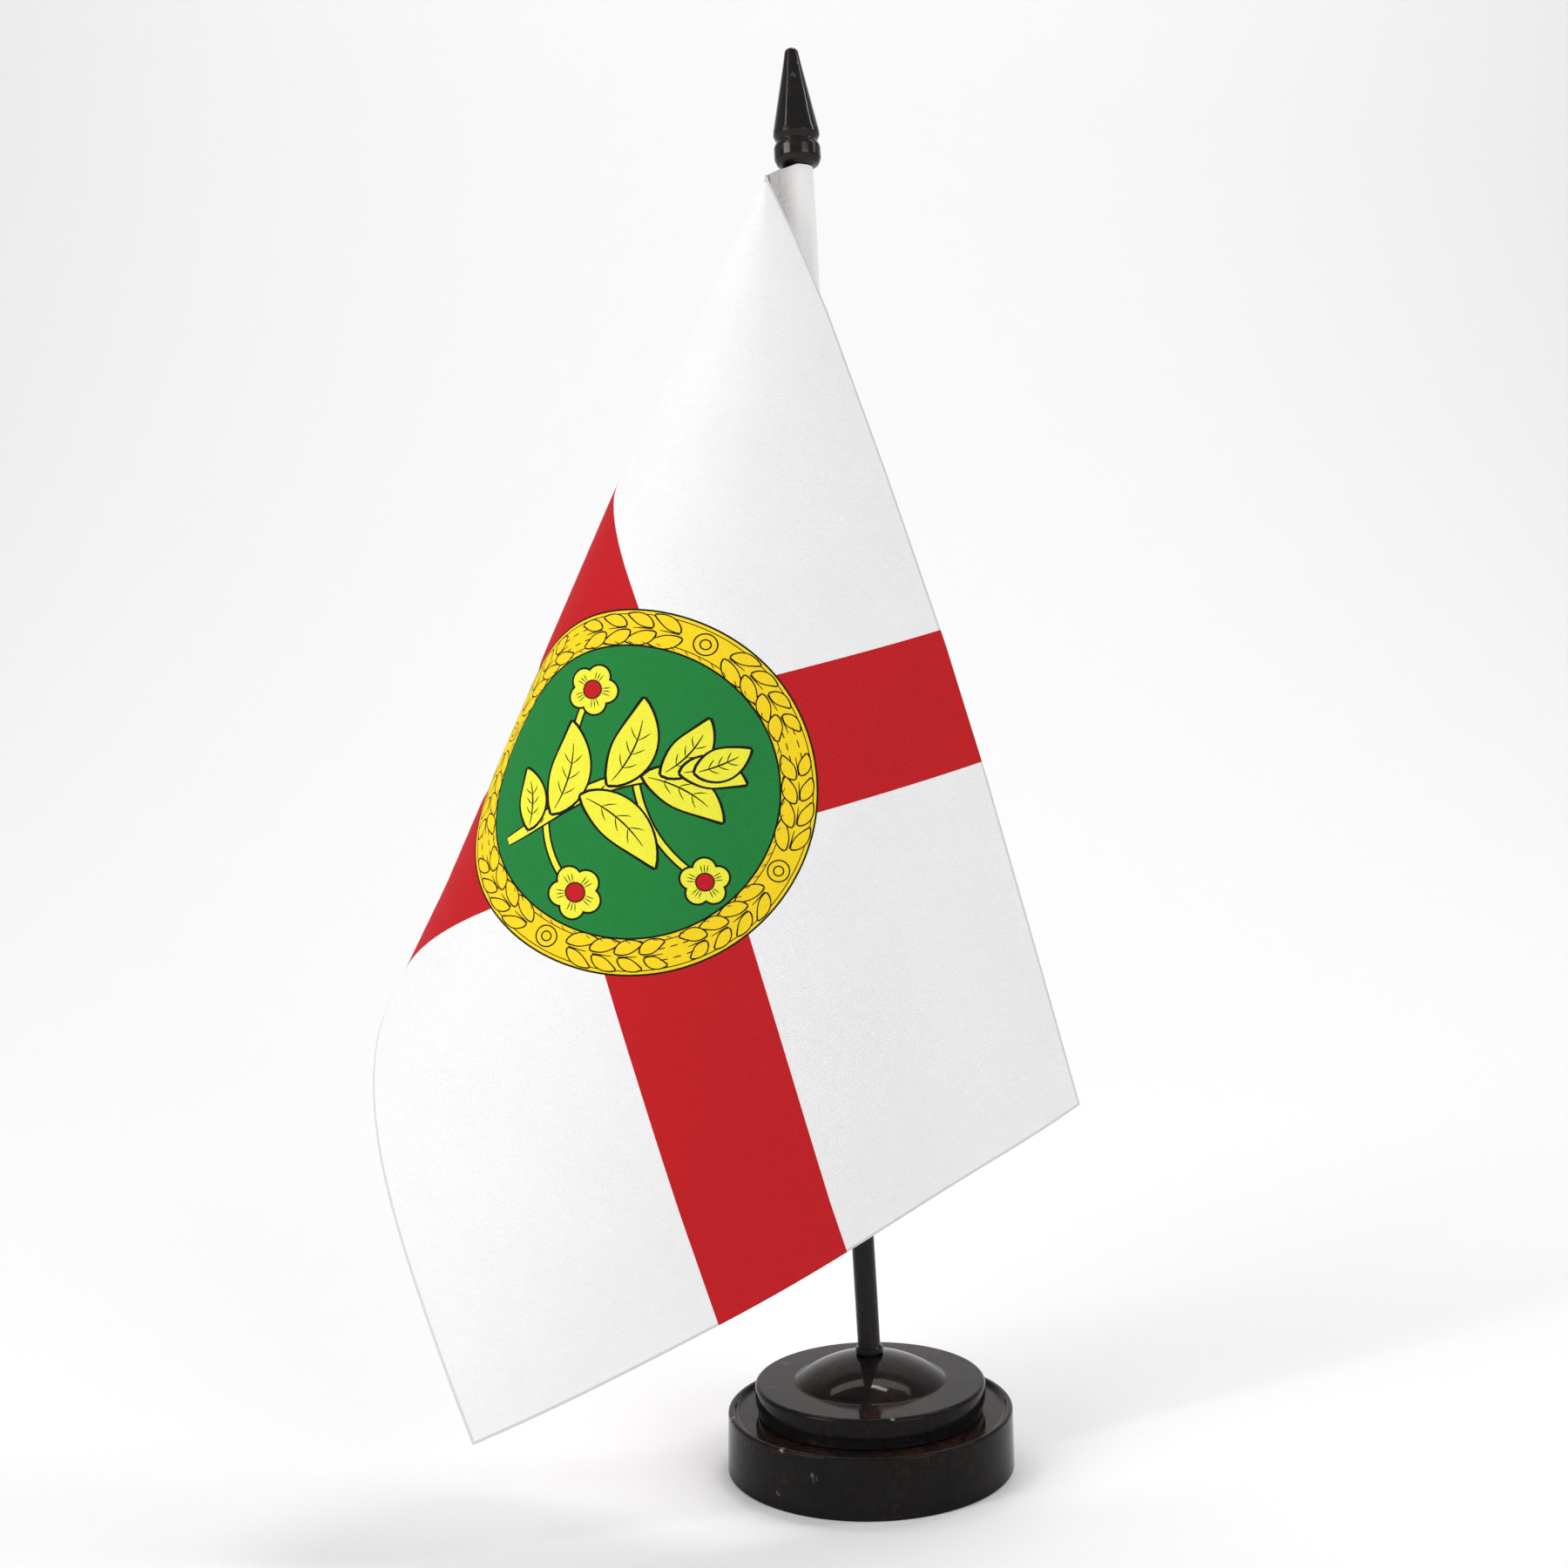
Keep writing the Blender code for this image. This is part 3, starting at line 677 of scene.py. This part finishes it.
# the ring: four runs of laurel that meet at small round bosses, with dashes
for quarter in range(4):
    base = 45 + 90 * quarter
    for side in (-1, 1):
        for k in range(4):
            at = base + side * (7.5 + 8.6 * k)
            tangent = at + 90 * side
            leaf(polar(33.0, at), tangent + 24 * side, 6.4 - 0.4 * k, 2.5, 0.06 * side,
                 "gold", vein=False, line=0.26)
            leaf(polar(34.2, at + side * 1.2), tangent - 20 * side, 5.6 - 0.4 * k, 2.2,
                 -0.06 * side, "gold", vein=False, line=0.26)
            paint("ink", stroke([polar(33.7, at + side * s) for s in (0.8, 3.0, 5.2, 7.4)],
                                0.24, 0.4))
    paint("ink", disc_loop(*polar(33.8, base), 2.35, 26))
    paint("gold", disc_loop(*polar(33.8, base), 2.05, 26))
    paint("ink", disc_loop(*polar(33.8, base), 1.15, 20))
    paint("gold", disc_loop(*polar(33.8, base), 0.85, 20))
    mid = base + 45
    for r in (32.6, 34.9):
        for k in (-1, 0, 1):
            paint("ink", stroke([polar(r, mid + k * 4.4 + s) for s in (-1.3, 0, 1.3)],
                                0.26, 0.3))
for k in range(72):
    paint("ink", stroke([polar(30.9, k * 5), polar(30.45, k * 5 + 1.6)], 0.16))

# the ground: a plain branch with broad leaves and three open flowers.  Its
# upright direction is towards the flag's top edge, which is -y in the print.
UP = -90
stem = [(CX + 2.2 * math.sin(2.0 + t * 4.6), CY + 27.0 - 43.0 * t)
        for t in [k / 24 for k in range(25)]]


def along(t):
    i = min(int(t * 24), 23)
    return Vector(stem[i]).lerp(Vector(stem[i + 1]), t * 24 - i)


def flower(cx, cy, size, turn):
    """An open flower of five round petals."""
    petals = [math.radians(turn + 72 * k) for k in range(5)]
    for grow, colour in ((0.45, "ink"), (0.0, "lemon")):
        for a in petals:
            paint(colour, disc_loop(cx + size * 0.58 * math.cos(a),
                                    cy + size * 0.58 * math.sin(a), size * 0.46 + grow, 26))
    for a in petals:
        for lean in (-0.22, 0.0, 0.22):
            paint("ink", stroke([(cx + size * s * math.cos(a + lean),
                                  cy + size * s * math.sin(a + lean))
                                 for s in (0.42, 0.60, 0.76)], 0.22, 0.5))
    paint("ink", disc_loop(cx, cy, size * 0.36 + 0.28, 24))
    paint("red", disc_loop(cx, cy, size * 0.36, 24))


def stem_at(y):
    """The stem's point at this height from the badge's centre."""
    return tuple(along((27.0 - y) / 43.0))


blooms = ((9.0, (CX - 22.0, CY - 0.5), 5.0, 10, -0.12),
          (17.0, (CX + 17.0, CY + 15.5), 5.2, 30, 0.10),
          (-3.0, (CX + 22.0, CY - 9.5), 4.6, 50, 0.12))
for y, at, size, turn, bow in blooms:
    twig = curve(stem_at(y), at, bow, 12)
    paint("ink", stroke(twig, 1.9))
    paint("lemon", stroke(twig, 1.05))
paint("ink", stroke(stem, 3.4, 0.35))
paint("lemon", stroke(stem, 2.5, 0.35))
for k in range(3, 22, 2):
    p, q = Vector(stem[k]), Vector(stem[k + 1])
    t = (q - p).normalized()
    paint("ink", stroke([tuple(p - t * 0.5 + Vector((-t.y, t.x)) * 0.5), tuple(p + t * 0.5)], 0.24))
for y, side, length, width, lean in (
        (21.5, -1, 13.0, 6.2, 78), (15.5, -1, 19.5, 8.4, 60), (8.5, 1, 20.5, 8.6, 62),
        (2.5, -1, 19.0, 8.2, 50), (-4.5, 1, 17.5, 7.8, 48), (-8.0, -1, 14.5, 6.8, 34),
        (-11.5, 1, 12.5, 6.2, 26)):
    leaf(stem_at(y), UP + side * lean, length, width, -0.10 * side, "lemon", line=0.45)
leaf(stem[23], UP - 8, 11.5, 6.2, 0.05, "lemon", line=0.45)
for y, at, size, turn, bow in blooms:
    flower(*at, size, turn)

COLOURS = {
    "white": cloth("white_woven_polyester", (0.86, 0.86, 0.865)),
    "red": cloth("red_printed_polyester", srgb(191, 26, 32), ink=1.0),
    "green": cloth("green_printed_polyester", srgb(32, 127, 59), ink=1.0),
    "lemon": cloth("lemon_printed_polyester", srgb(239, 235, 64), ink=1.0),
    "gold": cloth("gold_printed_polyester", srgb(247, 213, 32), ink=1.0),
    # the cut edge's band is grey: the melted edge, darkened further as painted shade along the outline
    "seal_and_painted_edge_shade": cloth("heat_cut_edge_and_painted_shade", (0.66, 0.66, 0.67), 0.45, sheen=0.0),
    "ink": cloth("black_printed_polyester", srgb(20, 20, 18), ink=1.0),
}
SLOTS = list(COLOURS)


def flat_points():
    """Points spread over the flat cloth in a fan about the hoist's top
    corner, close together where the cloth bends most."""
    rs = []
    r, step = 1.5, 0.35
    while r < 243:
        rs.append(r)
        r += step
        step = min(2.3, step * 1.06)
    turns = [math.radians(a) for a in np.concatenate([
        np.arange(0, 30, 1.5), np.arange(30, 80, 1.0), np.arange(80, 90.01, 1.25)])]
    out = []
    for j, r in enumerate(rs):
        for i, a in enumerate(turns):
            b = a
            if j % 2 and 0 < i < len(turns) - 1:
                b = (a + turns[i + 1]) / 2
            u, v = r * math.cos(b), r * math.sin(b)
            if SEAL + 0.3 < u < FLY - SEAL - 0.3 and SEAL + 0.3 < v < HOIST - SEAL - 0.3:
                out.append((u, v))
    return out


def outline(inset=0.0):
    """The cut edge, its hoist top corner slightly rounded, or a line inside it."""
    edge = []
    tip_r = 0.35 + inset
    lo, right, low = inset, FLY - inset, HOIST - inset
    for k in range(5):
        a = math.pi / 2 * (1 - k / 4)
        edge.append((lo * 0.7 + tip_r * math.cos(a), lo * 0.7 + tip_r * math.sin(a)))
    edge[0] = (lo, tip_r + lo)
    edge[-1] = (tip_r + lo, lo)
    u = tip_r + lo
    while u < right - 0.01:
        u = min(right, u + min(1.8, 0.25 + u * 0.08))
        edge.append((u, lo))
    n = 78
    edge += [(right, lo + (low - lo) * k / n) for k in range(1, n + 1)]
    n = 110
    edge += [(right + (lo - right) * k / n, low) for k in range(1, n + 1)]
    back = []
    w = tip_r + lo
    while w < low - 0.01:
        w = min(low, w + min(1.8, 0.25 + w * 0.08))
        back.append((lo, w))
    return edge + back[-2::-1]


def inside(points, loop):
    """Which points lie in a closed loop, by the odd number of crossings."""
    hit = np.zeros(len(points), bool)
    x, y = points[:, 0], points[:, 1]
    for (ax, ay), (bx, by) in zip(loop, np.roll(loop, -1, axis=0)):
        if ay != by:
            hit ^= ((ay > y) != (by > y)) & (x < (bx - ax) * (y - ay) / (by - ay) + ax)
    return hit


def printed_sheet():
    """Triangles of the flat cloth that follow every edge of the print, and
    the colour of each: that of the last shape painted over it."""
    verts, edges, loops = [], [], []

    def loop(points):
        start, n = len(verts), len(points)
        verts.extend(Vector(p) for p in points)
        edges.extend((start + k, start + (k + 1) % n) for k in range(n))
        loops.append(np.array(points))

    # the band between the cut edge and the line inside it takes the grey edge colour, painted shade
    # along the outline
    loop(outline())
    loop(outline(SEAL))
    ridge = outline(SEAL * 0.4)
    start, n = len(verts), len(ridge)
    verts.extend(Vector(p) for p in ridge)
    edges.extend((start + k, start + (k + 1) % n) for k in range(n))
    for colour, points in art:
        if len(points) == 4:      # the cross: cut fine, to follow the cloth
            fine = []
            for p, q in zip(points, points[1:] + points[:1]):
                n = max(1, int(math.dist(p, q) / 2.5))
                fine += [(p[0] + (q[0] - p[0]) * k / n, p[1] + (q[1] - p[1]) * k / n)
                         for k in range(n)]
            points = fine
        clean = []
        for p in (on_cloth(a, b) for a, b in points):
            # the long arms end just past the cloth
            p = (min(max(p[0], -6.0), FLY + 6.0), min(max(p[1], -6.0), HOIST + 6.0))
            if not clean or math.dist(p, clean[-1]) > 1e-3:
                clean.append(p)
        if math.dist(clean[0], clean[-1]) < 1e-3:
            clean.pop()
        loop(clean)
    verts.extend(Vector(p) for p in flat_points())
    out_v, _, out_f = geometry.delaunay_2d_cdt(verts, edges, [], 0, 1e-4, False)[:3]
    flat = np.array([tuple(p) for p in out_v])
    faces = np.array([tuple(f) for f in out_f])
    centre = flat[faces].mean(1)
    top = np.full(len(faces), -1)
    for i, line in enumerate(loops):
        low, high = line.min(0), line.max(0)
        near = np.flatnonzero(((centre > low) & (centre < high)).all(1))
        near = near[inside(centre[near], line)]
        if i:
            near = near[top[near] >= 0]
        top[near] = i
    kept = top >= 0
    used, faces = np.unique(faces[kept], return_inverse=True)
    faces = faces.reshape(-1, 3)
    return flat[used], [tuple(map(int, f)) for f in faces], \
        [("seal_and_painted_edge_shade", "white")[t] if t < 2 else art[t - 2][0] for t in top[kept]]


uv, tris, slot = printed_sheet()
middle = surface(uv[:, 0], uv[:, 1])
normal = surface_normal(uv[:, 0], uv[:, 1])
# every cut edge is thinner at its very edge, with a thin bead just inside it
inland = np.minimum.reduce([uv[:, 0] + 0 * uv[:, 1], FLY - uv[:, 0], uv[:, 1], HOIST - uv[:, 1]])
bead = np.interp(inland, (0.0, SEAL * 0.4, SEAL, SEAL + 0.4), (0.55, 1.65, 1.0, 1.0))
thick = (CLOTH_T / 2 * bead)[:, None]
face_side = middle - normal * thick
back_side = middle + normal * thick
count = len(uv)
edge_use = {}
for t in tris:
    for k in range(3):
        e = (t[k], t[(k + 1) % 3])
        edge_use[e] = edge_use.get(e, 0) + 1
rim = [e for e in edge_use if (e[1], e[0]) not in edge_use]
all_faces = [t for t in tris] + [tuple(i + count for i in reversed(t)) for t in tris]
all_faces += [(b, a, a + count, b + count) for a, b in rim]
me = bpy.data.meshes.new("printed_flag")
me.from_pydata([tuple(p) for p in np.vstack([face_side, back_side]) * MM], [], all_faces)
for name in SLOTS:
    me.materials.append(COLOURS[name])
slots = [SLOTS.index(s) for s in slot]
me.polygons.foreach_set("material_index", np.array(slots + slots + [0] * len(rim), np.int32))
layer = me.uv_layers.new(name="flat_cloth")
both = np.vstack([uv, uv]) / UV_SPAN
loops = np.empty(len(me.loops), np.int32)
me.loops.foreach_get("vertex_index", loops)
layer.data.foreach_set("uv", both[loops].astype(np.float32).ravel())
bm = bmesh.new()
bm.from_mesh(me)
bmesh.ops.recalc_face_normals(bm, faces=bm.faces)
bm.to_mesh(me)
bm.free()
me.shade_smooth()
me.set_sharp_from_angle(angle=math.radians(60))
flag = bpy.data.objects.new("printed_flag", me)
bpy.context.scene.collection.objects.link(flag)
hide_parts("flag_cloth")
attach(flag, "flag")

# =================================================================== sleeve
to_local = STICK_FRAME.inverted()
seam_local = to_local @ Vector(SEAM_TOP)
SEAM_DIR = math.atan2(seam_local.y, seam_local.x)
SEAM_DIST = math.hypot(seam_local.x, seam_local.y)
DROOP = SLEEVE_TOP - seam_local.z


def turn2(x, y, a):
    return (x * math.cos(a) - y * math.sin(a), x * math.sin(a) + y * math.cos(a))


def sleeve_path():
    """Middle line of the strip, from the field's edge in along one layer,
    round the stick and back along the other to its cut edge."""
    a = math.acos((SLEEVE_MID_R - SLEEVE_TIP_R * 0.5) / SLEEVE_TIP)
    lay = 0.16
    pts = []
    n = 6
    start, flat = SEAM_DIST + 0.25, STITCH_LINE + 0.5
    for k in range(n + 1):                    # the field's own layer
        s = k / n
        pts.append((start + (flat - start) * s, -lay * smooth(s * 1.5).item()
                    if k else 0.0))
    c = (SLEEVE_MID_R * math.cos(a), SLEEVE_MID_R * math.sin(a))
    for k in range(1, 10):
        s = k / 10
        x = flat + (c[0] - flat) * s
        pts.append((x, -(lay + (c[1] - lay) * (s ** 1.25))))
    pts += [(SLEEVE_MID_R * math.cos(t), SLEEVE_MID_R * math.sin(t))
            for t in [-a - (2 * math.pi - 2 * a) * k / 40 for k in range(41)]]
    for k in range(9, 0, -1):
        s = k / 10
        x = flat + (c[0] - flat) * s
        pts.append((x, lay + (c[1] - lay) * (s ** 1.25)))
    pts += [(flat, lay), (flat + 0.5, lay), (flat + 1.0, lay + 0.02), (flat + 1.35, lay + 0.05)]
    return pts


path = sleeve_path()
lengths = [0.0]
for p, q in zip(path, path[1:]):
    lengths.append(lengths[-1] + math.dist(p, q))
rows = 190
stitch_top = SLEEVE_TOP - DROOP * STITCH_LINE / SEAM_DIST - STITCH_START


def sleeve_point(k, j, off):
    """Point of the sleeve's surface, off from its middle, in the stick frame."""
    x, y = path[k]
    a, b = path[max(k - 1, 0)], path[min(k + 1, len(path) - 1)]
    t = Vector((b[0] - a[0], b[1] - a[1])).normalized()
    out = Vector((t.y, -t.x))                     # away from the stick
    down = HOIST * j / rows
    # slack of the tube, and the small pull of each stitch
    r = math.hypot(x, y)
    loose = 0.10 + 0.12 * math.sin(down / 9.0 + 1.7 * math.atan2(y, x)) \
        + 0.05 * math.sin(down / 3.1 + 3 * math.atan2(y, x))
    loose *= max(0.0, min(1.0, (6.5 - r) / 3.0))
    pull = 0.0
    near = max(0.0, 1 - abs(r - STITCH_LINE) / 1.3)
    if near > 0 and down > STITCH_START:
        pull = -0.05 * near * near * (0.5 + 0.5 * math.cos(
            2 * math.pi * (down - STITCH_START) / STITCH_PITCH))
    swell = 0.0 if near <= 0 else 0.05 * near * math.sin(down / 2.3)
    o = off + loose + pull
    px, py = x + out.x * o, y + out.y * o + swell * 0.3
    # the tube stands level round the stick; the flat part hangs lower
    drop = float(np.interp(x, (2.6, SEAM_DIST), (0.0, DROOP)))
    qx, qy = turn2(px, py, SEAM_DIR)
    return Vector((qx, qy, SLEEVE_TOP + 0.2 - down - drop))


bm = bmesh.new()
uvl = bm.loops.layers.uv.new("flat_cloth")
grid = {}
for j in range(rows + 1):
    for k in range(len(path)):
        for side in (0, 1):
            grid[j, k, side] = bm.verts.new(
                (STICK_FRAME @ sleeve_point(k, j, (side - 0.5) * 0.2)) * MM)


def quad(vs, coords):
    f = bm.faces.new(vs)
    for lp, c in zip(f.loops, coords):
        lp[uvl].uv = (c[0] / UV_SPAN, c[1] / UV_SPAN)


def flat_at(j, k):
    return (lengths[k], HOIST * j / rows)


for j in range(rows):
    for k in range(len(path) - 1):
        corners = ((j, k), (j + 1, k), (j + 1, k + 1), (j, k + 1))
        for side in (0, 1):
            order = corners if side else corners[::-1]
            quad([grid[a, b, side] for a, b in order], [flat_at(a, b) for a, b in order])
for j in range(rows):
    for k in (0, len(path) - 1):
        quad([grid[j, k, 0], grid[j + 1, k, 0], grid[j + 1, k, 1], grid[j, k, 1]],
             [flat_at(j, k), flat_at(j + 1, k), flat_at(j + 1, k), flat_at(j, k)])
for k in range(len(path) - 1):
    for j in (0, rows):
        quad([grid[j, k, 0], grid[j, k + 1, 0], grid[j, k + 1, 1], grid[j, k, 1]],
             [flat_at(j, k), flat_at(j, k + 1), flat_at(j, k + 1), flat_at(j, k)])
bmesh.ops.recalc_face_normals(bm, faces=bm.faces)
me = bpy.data.meshes.new("sewn_sleeve")
bm.to_mesh(me)
bm.free()
# the sleeve's colour holds painted shade toward the seam, for the shadow of the fold in front
me.materials.append(cloth("white_sleeve_polyester", (0.86, 0.852, 0.846), painted_fold_shade=0.62))
me.shade_smooth()
me.set_sharp_from_angle(angle=math.radians(60))
sleeve = bpy.data.objects.new("sewn_sleeve", me)
bpy.context.scene.collection.objects.link(sleeve)
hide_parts("hoist_sleeve")
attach(sleeve, "flag")

# ================================================================== threads
thread_mat = thread_material()


def thread(name, side, node):
    """One thread of the lock stitch: it lies on the cloth between holes and
    dips into each, and shows the twist of its two plies."""
    out = Vector((*turn2(0.0, side, SEAM_DIR), 0.0))
    wide = Vector((*turn2(1.0, 0.0, SEAM_DIR), 0.0))
    mid = Vector((*turn2(STITCH_LINE + 0.15, 0.0, SEAM_DIR), 0.0))
    span = HOIST - STITCH_START - 3.0
    count = int(span / STITCH_PITCH)
    sections = count * 14
    ring_n = 8
    bm = bmesh.new()
    prev = None
    for k in range(sections + 1):
        s = k / 14
        z = stitch_top - STITCH_PITCH * s
        f = s - math.floor(s)
        hump = min(1.0, math.sin(math.pi * f) * 2.2)
        c = mid + out * (0.23 + 0.20 * hump) + Vector((0, 0, z))
        c += wide * 0.07 * math.sin(2 * math.pi * s * 0.37)
        ring = []
        for q in range(ring_n):
            a = 2 * math.pi * q / ring_n
            ply = 1 + 0.16 * math.cos(2 * (a - 5.2 * s))
            rad = (0.13 + 0.05 * hump) * ply
            ring.append(bm.verts.new((STICK_FRAME @ (
                c + wide * math.cos(a) * rad * 1.12 + out * math.sin(a) * rad * 0.85)) * MM))
        if prev is None:
            bm.faces.new(ring)
        else:
            for q in range(ring_n):
                bm.faces.new((prev[q], ring[q], ring[(q + 1) % ring_n], prev[(q + 1) % ring_n]))
        prev = ring
    bm.faces.new(prev)
    bmesh.ops.recalc_face_normals(bm, faces=bm.faces)
    me = bpy.data.meshes.new(name)
    bm.to_mesh(me)
    bm.free()
    me.materials.append(thread_mat)
    me.shade_smooth()
    ob = bpy.data.objects.new(name, me)
    bpy.context.scene.collection.objects.link(ob)
    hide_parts(node)
    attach(ob, "flag")
    return ob


needle = thread("needle_stitches", -1, "needle_thread")
bobbin = thread("bobbin_stitches", 1, "bobbin_thread")

# =================================================================== studio
floor_profile = [(-1.6, 0.0), (0.45, 0.0)]
floor_profile += [(0.45 + 1.3 * math.sin(a), 1.3 - 1.3 * math.cos(a))
                  for a in [math.pi / 2 * k / 48 for k in range(1, 49)]]
floor_profile.append((1.75, 3.0))
bm = bmesh.new()
rows_f = []
for y, z in floor_profile:
    rows_f.append([bm.verts.new((x, y, z)) for x in (-2.6, 2.6)])
for p, q in zip(rows_f, rows_f[1:]):
    bm.faces.new((p[0], p[1], q[1], q[0]))
me = bpy.data.meshes.new("studio_floor")
bm.to_mesh(me)
bm.free()
me.shade_smooth()
paper = Nodes("pale_paper")
grain = paper.noise(paper.place("Object"), 900.0, 4.0, 0.6)
paper.wire(paper.mix(paper.ramp(grain, 0.3, 0.7), (0.845, 0.845, 0.845), (0.86, 0.86, 0.86)),
           paper.bsdf.inputs["Base Color"])
paper.wire(paper.ramp(grain, 0.3, 0.7, 0.85, 0.95), paper.bsdf.inputs["Roughness"])
paper.bsdf.inputs["Specular IOR Level"].default_value = 0.1
me.materials.append(paper.mat)
floor = bpy.data.objects.new("studio_floor", me)
bpy.context.scene.collection.objects.link(floor)

world = bpy.data.worlds.new("studio")
bpy.context.scene.world = world
world.use_nodes = True
sky = world.node_tree.nodes["Background"]
sky.inputs["Color"].default_value = (1.0, 1.0, 1.0, 1.0)
sky.inputs["Strength"].default_value = 0.39


def area(name, at, aim, size, power, colour=(1.0, 1.0, 1.0)):
    data = bpy.data.lights.new(name, 'AREA')
    data.shape = 'RECTANGLE'
    data.size, data.size_y = size
    data.energy = power
    data.color = colour
    ob = bpy.data.objects.new(name, data)
    bpy.context.scene.collection.objects.link(ob)
    ob.location = at
    ob.rotation_euler = (Vector(aim) - Vector(at)).to_track_quat('-Z', 'Y').to_euler()
    return ob


area("key_softbox", (-1.30, -1.00, 0.66), (-0.02, 0.0, 0.15), (0.9, 0.5), 13.0)
area("fill_softbox", (0.95, -1.15, 0.55), (-0.02, 0.0, 0.15), (0.8, 0.5), 6.2)
area("overhead_lamp", (0.11, 0.36, 1.25), (0.0, -0.01, 0.02), (0.30, 0.07), 2.2)
area("strip_left", (-0.78, -0.46, 1.10), (-0.01, 0.0, 0.27), (0.05, 0.8), 2.2)
area("strip_right", (1.0, 0.10, 1.05), (-0.01, 0.0, 0.27), (0.06, 0.8), 2.6)
area("backdrop_wash", (0.0, 0.95, 2.3), (0.0, 1.55, 0.7), (2.4, 0.5), 20.0)

cam_data = bpy.data.cameras.new("photo_view")
cam_data.sensor_width = 36.0
cam_data.lens = 41.572
cam_data.shift_x = -100.0 / 1800.0
cam_data.clip_start, cam_data.clip_end = 0.01, 20.0
cam = bpy.data.objects.new("photo_view", cam_data)
bpy.context.scene.collection.objects.link(cam)
cam.matrix_world = Matrix.Translation((0.0019, -0.3607, 0.1415)) \
    @ Matrix.Rotation(math.radians(90.0 - 0.894), 4, 'X') \
    @ Matrix.Rotation(math.radians(-0.827), 4, 'Z')
bpy.context.scene.camera = cam

view = bpy.context.scene.view_settings
view.view_transform = 'Standard'
